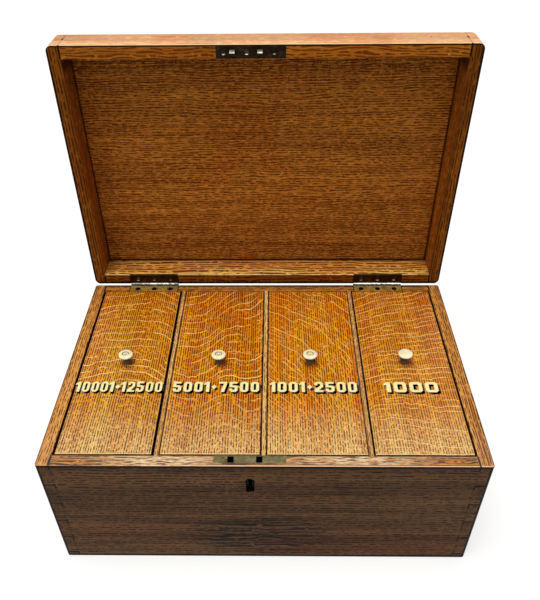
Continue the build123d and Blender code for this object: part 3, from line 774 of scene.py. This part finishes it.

# Knobs: four knobs turned in bone, on spigots in the covers. Their necks under the heads are painted
# dark as shade, and dirt has settled in the rings sunk in their tops; the knob on the right has no ring.
for number in range(1, 5):
    low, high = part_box(f"knob_{number}")
    foot = ((low.x + high.x) / 2, (low.y + high.y) / 2, cover_top)
    made, tree = fresh_material(f"knob_{number}_bone")
    at = add(tree, "TexCoord").outputs["Object"]
    own = add(tree, "Mapping", {"Vector": at, "Location": tuple(-part for part in foot)}).outputs[0]
    around = distance_from(tree, at, foot)
    up = split(tree, own)[2]
    streak = noise(tree, own, (300, 300, 60), 3.0, 0.6)
    shade = tint(tree, fade(tree, streak, 0.35, 0.65), colour(242, 229, 178), colour(254, 249, 216))
    # Painted shade on the neck under the head, and dirt in the rings sunk in the top.
    shade_and_dirt = fade(tree, up, 0.0080, 0.0055, 0.0, 0.95)
    if number != 4:
        ring = times(tree, fade(tree, around, 0.0022, 0.0026), fade(tree, around, 0.0040, 0.0036))
        nipple = times(tree, fade(tree, around, 0.0006, 0.0009), fade(tree, around, 0.0015, 0.0011))
        sunk = times(tree, calc(tree, "MAXIMUM", ring, nipple), fade(tree, up, 0.0111, 0.0105, 0.0, 0.7))
        shade_and_dirt = calc(tree, "MAXIMUM", shade_and_dirt, sunk)
    shade = tint(tree, shade_and_dirt, shade, colour(52, 28, 11))
    rough = calc(tree, "MULTIPLY_ADD", shade_and_dirt, 0.4, calc(tree, "MULTIPLY_ADD", streak, 0.25, 0.15))
    surface(tree, shade, rough, streak, 0.00005)
    nodes[f"knob_{number}"].material_slots[0].material = made

# Lid: four comb-jointed rails under one oak board, golden brown inside and paler on the outside. It
# stands upright, so its rims face forward.
def outer_side(tree, at, facing):
    """1 on the outside of the left and right rails."""
    sideways = fade(tree, calc(tree, "ABSOLUTE", split(tree, facing)[0]), 0.45, 0.8)
    off_middle = calc(tree, "ABSOLUTE", split(tree, at)[0])
    return times(tree, sideways, calc(tree, "GREATER_THAN", off_middle, 0.185))


lid_rims, lid_middle = 0.12745, 0.26445
lid_joints = comb_lines(top=lid_rims, finger=0.029 / 3, count=2, along=1, middle=lid_middle)
looking_up, looking_forward = facing_along(2, 1), facing_along(1, -1)
rim_plane = all_of(looking_forward, between(1, 0.120, 0.130))
inside_plane = all_of(looking_forward, between(1, 0.150, 0.160))
top_rim = all_of(rim_plane, between(2, 0.3787, 0.400), between(0, -0.1784, 0.1784))
lid_coats = [
    (None, colour(224, 142, 50), colour(160, 92, 30), colour(84, 38, 10)),
    (rim_plane, colour(166, 98, 24), colour(114, 62, 11), colour(74, 34, 7)),
    (top_rim, colour(214, 132, 38), colour(160, 92, 24), colour(112, 56, 14)),
    # Painted light: faces that look up, the ledge most of all, in a lighter coat.
    (looking_up, colour(255, 214, 112), colour(238, 142, 54), colour(96, 38, 8)),
    # Painted highlight: the top face of the front rail, pale pink as lit from above.
    (facing_along(2, 1, 0.380), colour(255, 216, 162), colour(252, 188, 136), colour(220, 148, 98)),
    (facing_along(1, 1, 0.150), colour(190, 130, 70), colour(140, 86, 42), colour(70, 38, 16)),
    (facing_along(2, -1, -0.146), colour(166, 108, 56), colour(124, 76, 38), colour(88, 50, 24)),
    (outer_side, colour(110, 66, 34), colour(66, 38, 20), colour(24, 12, 6)),
]
lid_veils = [
    # The first three veils are painted shade: high on the inside under the top rail, at its left, and low by
    # the ledge. The last is stain.
    (all_of(between(1, 0.140, 0.160), between(2, 0.345, 0.400, 0.020, 0.7)), (0.74, 0.70, 0.64, 1)),
    (all_of(between(1, 0.140, 0.160), between(0, -0.2, -0.150, 0.030, 0.5)), (0.72, 0.66, 0.60, 1)),
    (all_of(between(1, 0.150, 0.157), between(2, 0.130, 0.180, 0.045)), (0.74, 0.72, 0.86, 1)),
    (clouded((10, 10, 10), 0.48, 0.66, 0.7), (0.95, 0.74, 0.62, 1)),
]


def pale_flecks(tree, at, facing):
    """Short pale flecks of varnish between the pores of the lid's inside."""
    grain = use(tree, oak_grain, Vector=grain_along(tree, at, "X"), Shift=(0.7, 0.2, 0.4), Heart=(0, 0, 0.9),
                Pitch=0.0021, Wander=0.014, Dash=0.0045, Width=0.28, Gaps=0.47)
    return times(tree, grain["Pores"], inside_plane(tree, at, facing), 0.36)


ledge_over_leaf = all_of(looking_up, over_a_leaf, between(2, 0.130, 0.160))
shade_under_top_rail = between(2, 0.3660, 0.379, 0.0045, 0.9)
lid_figures = [
    (pale_flecks, colour(255, 186, 84)),
    # Painted shade down the outer sides of the rims, where they round over.
    (all_of(rim_plane, near_the_sides(0.1876, 0.1884, 0.95)), colour(16, 7, 4)),
    # Painted highlight along the front edge of the lid's top face.
    (all_of(facing_along(2, 1, 0.385), between(1, 0.120, 0.1289, 0.0003)), colour(255, 224, 172)),
    # Painted shade along the top edge of the top rim, where it rounds over.
    (all_of(rim_plane, between(2, 0.3892, 0.400, 0.0002, 0.9)), colour(30, 12, 5)),
    # Painted shade along the lower edge of the rims.
    (all_of(rim_plane, between(2, 0.130, 0.1410, 0.0003, 0.95)), colour(14, 7, 4)),
    # Worn pale chips along the ledge's front edge, with a painted highlight.
    (all_of(looking_up, between(1, 0.120, 0.1288, 0.0003), clouded((160, 160, 160), 0.38, 0.56, 0.8)),
     colour(255, 220, 160)),
    # Painted shade in the corner where the ledge meets the inside.
    (all_of(looking_up, between(2, 0.140, 0.160), between(1, 0.1555, 0.158, 0.0004, 0.8)),
     colour(48, 22, 8)),
    # Painted shade low on the inside, along the ledge.
    (all_of(inside_plane, between(2, 0.1490, 0.1520, 0.0008, 0.85)), colour(30, 13, 5)),
    # Painted shade in the corners where the inside meets the side rails.
    (all_of(inside_plane, near_the_sides(0.1758, 0.1774, 0.85)), colour(26, 11, 5)),
    # Painted shade on the rims round the hinge leaves.
    (all_of(rim_plane, between(2, 0.130, 0.160), over_a_leaf), colour(16, 8, 5)),
    # Painted shadow under the top rail.
    (all_of(between(1, 0.1285, 0.156), shade_under_top_rail, between(0, -0.1785, 0.1785)), colour(18, 8, 4)),
    # Painted shade: a dark line on the ledge behind each hinge leaf.
    (all_of(ledge_over_leaf, between(1, 0.1282, 0.1298, 0.0003, 0.9)), colour(24, 11, 6)),
    (all_of(ledge_over_leaf, between(1, 0.120, 0.1281, 0.0002)), colour(255, 206, 160)),
    (lid_joints, joint_and_shade_black),
]
for piece, direction, shift, heart, pitch, wander in (
    ("lid_front_rail", "X", (0.2, 0.1, 0.1), (0.05, 0, 0.06), 0.0024, 0.020),
    ("lid_back_rail", "X", (0.6, 0.3, 0.2), (0.05, 0, 0.06), 0.0042, 0.020),
    ("lid_left_rail", "Z", (0.5, 0.2, 0.4), (0.05, 0, 0.06), 0.0026, 0.008),
    ("lid_right_rail", "Z", (0.8, 0.7, 0.3), (0.05, 0, 0.06), 0.0026, 0.008),
    ("lid_top_board", "X", (0.4, 0.6, 0.5), (0.0, 0, 0.9), 0.0024, 0.014),
):
    nodes[piece].material_slots[0].material = oak(
        piece + "_oak", direction, shift, heart, lid_coats, lid_veils, lid_figures, pitch=pitch,
        wander=wander, dash=0.0074, width=0.30, gaps=0.36, middle=(0, 0.14495, lid_middle),
        half=(0.19, 0.0175, 0.1263), worn=colour(226, 164, 98), worn_width=0.0010, sheen=0.42, gloss=0.04)

# Pin: the domed head of one small brass pin, driven into the lid's front rim near its right end. A disc
# drawn out in three steps, the first a little wider than the disc and the others narrower.
bpy.ops.object.select_all(action="DESELECT")
bpy.ops.mesh.primitive_circle_add(vertices=32, radius=0.0008, fill_type="NGON", location=(0, 0, 0))
pin = bpy.context.object
pin.name = "lid_rim_pin"
bpy.ops.object.mode_set(mode="EDIT")
for rise, width in ((0.00008, 1.08), (0.00009, 0.86), (0.00006, 0.62)):
    bpy.ops.mesh.extrude_region_move(TRANSFORM_OT_translate={"value": (0, 0, rise)})
    bpy.ops.transform.resize(value=(width, width, 1))
bpy.ops.mesh.select_all(action="SELECT")
bpy.ops.mesh.normals_make_consistent(inside=False)
bpy.ops.object.mode_set(mode="OBJECT")
pin.data.transform(Matrix.Translation((0.160, lid_rims, 0.3818)) @ Matrix.Rotation(pi / 2, 4, "X"))
bpy.ops.object.shade_smooth_by_angle(angle=radians(40))
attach(pin, "lid")

# Hinges: two brass butt hinges of five knuckles, their leaves let into the rims of the box and the lid.
# The leaves have gone dull and the knuckles are rubbed bright; the lid leaves are painted dark, as the
# dark room they reflect, and the undersides of the barrels near black as shade.
old_brass, given, out = effect(
    "old_brass",
    [("Vector", "Vector"), ("Bright", "Color"), ("Dull", "Color"), ("Brown", "Color"), ("Age", "Float")],
    [("Color", "Color"), ("Roughness", "Float"), ("Relief", "Float")],
)
mottle = noise(old_brass, given["Vector"], (170, 170, 170), 4.0, 0.65)
speck = noise(old_brass, given["Vector"], (900, 900, 900), 2.0, 0.6)
dull = fade(old_brass, calc(old_brass, "MULTIPLY_ADD", given["Age"], 0.3, mottle), 0.42, 0.68)
stain = fade(old_brass, noise(old_brass, given["Vector"], (75, 120, 120), 3.0, 0.6), 0.52, 0.68)
shade = tint(old_brass, dull, given["Bright"], given["Dull"])
shade = tint(old_brass, times(old_brass, stain, 0.7), shade, given["Brown"])
shade = tint(old_brass, fade(old_brass, speck, 0.62, 0.75, 0.0, 0.6), shade, given["Brown"])
rough = calc(old_brass, "MULTIPLY_ADD", dull, 0.22, calc(old_brass, "MULTIPLY_ADD", speck, 0.15, 0.22))
old_brass.links.new(shade, out["Color"])
old_brass.links.new(rough, out["Roughness"])
old_brass.links.new(calc(old_brass, "ADD", mottle, speck), out["Relief"])


def brass(name, bright, dull, brown, age, parts=(), matt=0.0):
    """Old brass in its own colours and age, with parts in other colours: some rubbed bright, some painted
    light or dark as highlights, reflections and shade.
    """
    made, tree = fresh_material(name)
    spots = add(tree, "TexCoord").outputs
    at, facing = spots["Object"], spots["Normal"]
    patina = use(tree, old_brass, Vector=at, Bright=bright, Dull=dull, Brown=brown, Age=age)
    shade = patina["Color"]
    for where, *colours in parts:
        other = use(tree, old_brass, Vector=at, Bright=colours[0], Dull=colours[1], Brown=colours[2], Age=0.1)
        shade = tint(tree, where(tree, at, facing), shade, other["Color"])
    rough = calc(tree, "ADD", patina["Roughness"], matt)
    surface(tree, shade, rough, patina["Relief"], 0.00006, Metallic=1.0)
    return made


def knuckles(tree, at, facing):
    """1 on the barrel round the hinge pin."""
    return fade(tree, distance_from(tree, at, (0, 0.1273, 0.13715), (0, 1, 1)), 0.0026, 0.0022)


def turned_from_up(start, end):
    """A share that rises as a face turns away from looking up."""
    def where(tree, at, facing):
        return fade(tree, split(tree, facing)[2], start, end)
    return where


# Near black for painted shade and painted dark reflections on the metal.
painted_dark_metal = (colour(34, 28, 20), colour(22, 17, 12), colour(14, 10, 7))
# Pale metal for the rubbed knuckles, and for painted glints on the screws.
rubbed_and_glint = (colour(246, 242, 228), colour(190, 182, 162), colour(98, 80, 60))
greyed = (colour(182, 172, 160), colour(140, 128, 114), colour(84, 70, 56))
worn_less = all_of(knuckles, between(0, -0.3, 0.0), all_but(between(0, -0.1294, -0.1088)))
low_sides, screw_seats = turned_from_up(0.80, 0.66), turned_from_up(0.97, 0.85)
# The barrel: rubbed bright, greyed in places on the left hinge, its lower sides painted near black as shade.
barrel_parts = [(knuckles, *rubbed_and_glint), (worn_less, *greyed), (all_of(knuckles, low_sides), *painted_dark_metal)]
for name, bright, dull, brown, age, matt, parts in (
    ("box_leaf", colour(255, 206, 92), colour(206, 164, 74), colour(110, 72, 30), 0.20, 0.09,
     [(between(1, 0.1236, 0.1252, 0.0002), colour(228, 214, 180), colour(190, 172, 130), colour(120, 98, 60)),
      # Painted shade, near black, in the countersinks of the box leaf.
      (all_of(screw_seats, between(1, 0.1149, 0.1234)), *painted_dark_metal)]),
    # The lid leaf faces forward and is painted dark, as the dark room it reflects; its faces that look up are
    # painted pale as a highlight.
    ("lid_leaf", colour(68, 40, 20), colour(40, 23, 12), colour(24, 13, 8), 0.5, 0.0,
     [(looking_up, colour(150, 140, 118), colour(104, 92, 72), colour(60, 46, 32))]),
    ("pin", colour(200, 196, 180), colour(130, 124, 108), colour(70, 56, 40), 0.2, 0.0, []),
):
    metal = brass(f"hinge_{name}_brass", bright, dull, brown, age, [*parts, *barrel_parts], matt)
    for side in ("left", "right"):
        nodes[f"hinge_{side}_{name}"].material_slots[0].material = metal

# Lock: a brass case behind the face plate in the front rim, with a cap plate over it and the drill pin
# that the key turns on. The bolt and its spring are of steel.
# Painted shade: the lock's brass is near black inside the front board, where it shows through the keyhole.
lock_inside = all_of(between(1, -0.140, -0.1149), between(2, 0.090, 0.1367))
face_brass = brass("lock_case_brass", colour(156, 146, 106), colour(112, 102, 70), colour(84, 60, 36), 0.3,
                   [(lock_inside, colour(10, 8, 6), colour(6, 5, 4), colour(4, 3, 3))])
for piece in ("lock_case", "lock_cap_plate", "lock_drill_pin"):
    nodes[piece].material_slots[0].material = face_brass
steel = brass("filed_steel", colour(120, 118, 112), colour(72, 70, 66), colour(48, 38, 30), 0.3)
for piece in ("lock_bolt", "lock_spring"):
    nodes[piece].material_slots[0].material = steel

# Link plate: a brass plate let into the lid's front rail, painted dark brown as the dark room it reflects,
# with two links whose faces that look up are painted bright as a highlight.
nodes["link_plate"].material_slots[0].material = brass(
    "link_plate_brass", colour(72, 54, 36), colour(40, 29, 20), colour(26, 18, 12), 0.6,
    # Painted highlight on the faces that look up.
    [(looking_up, colour(214, 210, 190), colour(160, 154, 134), colour(90, 80, 64)),
     # Painted dark reflection, near black, on the fronts of the links.
     (all_of(looking_forward, between(1, 0.110, 0.120)), *painted_dark_metal)])

# Screws: brass wood screws with slotted heads, which hold the hinges, the lock and the link plate. They
# have gone dark; those in the rims of the box are painted black as shade in their countersinks, and in the
# lid their faces that look up are painted bright as glints.
screw_brass = brass("screw_brass", colour(92, 78, 52), colour(46, 36, 24), colour(26, 19, 13), 0.5,
                    # Painted glints on the faces that look up in the lid; painted shade, near black, in the
                    # rims of the box.
                    [(all_of(looking_up, between(1, 0.1275, 0.150)), *rubbed_and_glint),
                     (between(2, 0.120, 0.1372), *painted_dark_metal)])
for piece in ("hinge_box_screws", "hinge_lid_screws", "lock_screws", "link_plate_screws"):
    nodes[piece].material_slots[0].material = screw_brass
pin_brass = brass("pin_brass", colour(190, 150, 84), colour(130, 96, 50), colour(70, 46, 24), 0.3)
pin.data.materials.append(pin_brass)
